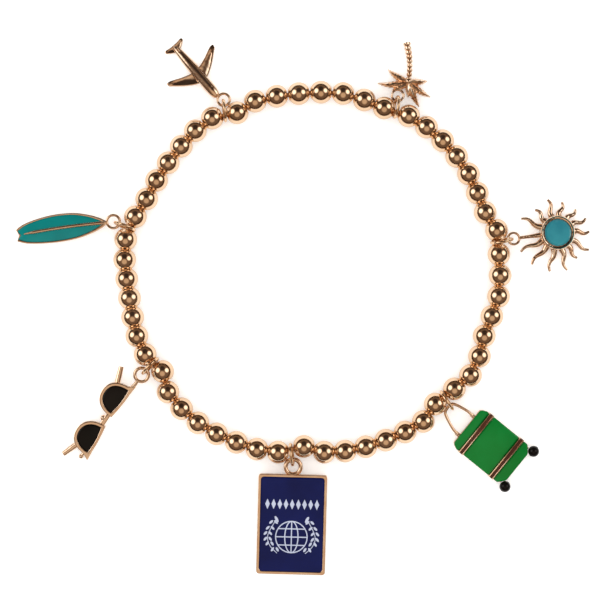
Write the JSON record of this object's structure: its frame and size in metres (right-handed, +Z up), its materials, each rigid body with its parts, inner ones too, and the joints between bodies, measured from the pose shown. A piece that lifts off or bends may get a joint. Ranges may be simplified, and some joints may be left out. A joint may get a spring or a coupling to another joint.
{
  "type": "charm bracelet",
  "caption": "Stretch bracelet of round gold-coloured beads lying flat in a loop, with travel charms hanging outward on small jump rings.",
  "frame": {"origin": "on the surface under the middle of the whole outline, charms included", "axes": "+Z up from the surface; +Y towards the airplane and palm tree charms, -Y towards the passport charm; +X towards the sun charm"},
  "size_m": [0.1002, 0.094, 0.0042],
  "materials": {
    "gold": "polished rose-gold plating",
    "black_enamel": "glossy black enamel",
    "teal_enamel": "glossy teal enamel",
    "green_enamel": "glossy green enamel",
    "navy_enamel": "glossy navy blue enamel with a pale print",
    "turquoise_stone": "polished turquoise blue stone"
  },
  "bodies": {
    "root": {"bead_string": "gold", "jump_ring_sun": "gold", "jump_ring_palm": "gold", "jump_ring_airplane": "gold", "jump_ring_surfboard": "gold", "jump_ring_sunglasses": "gold", "jump_ring_passport": "gold", "jump_ring_suitcase": "gold", "airplane_charm": "gold", "palm_charm": "gold", "surfboard_frame": "gold", "surfboard_enamel": "teal_enamel", "sun_frame": "gold", "sun_stone": "turquoise_stone", "sunglasses_frame": "gold", "sunglasses_lens_outer": "black_enamel", "sunglasses_lens_inner": "black_enamel", "suitcase_frame": "gold", "suitcase_panel_top": "green_enamel", "suitcase_panel_middle": "green_enamel", "suitcase_panel_bottom": "green_enamel", "suitcase_wheel_left": "black_enamel", "suitcase_wheel_right": "black_enamel", "passport_frame": "gold", "passport_enamel": "navy_enamel"}
  },
  "joints": []
}
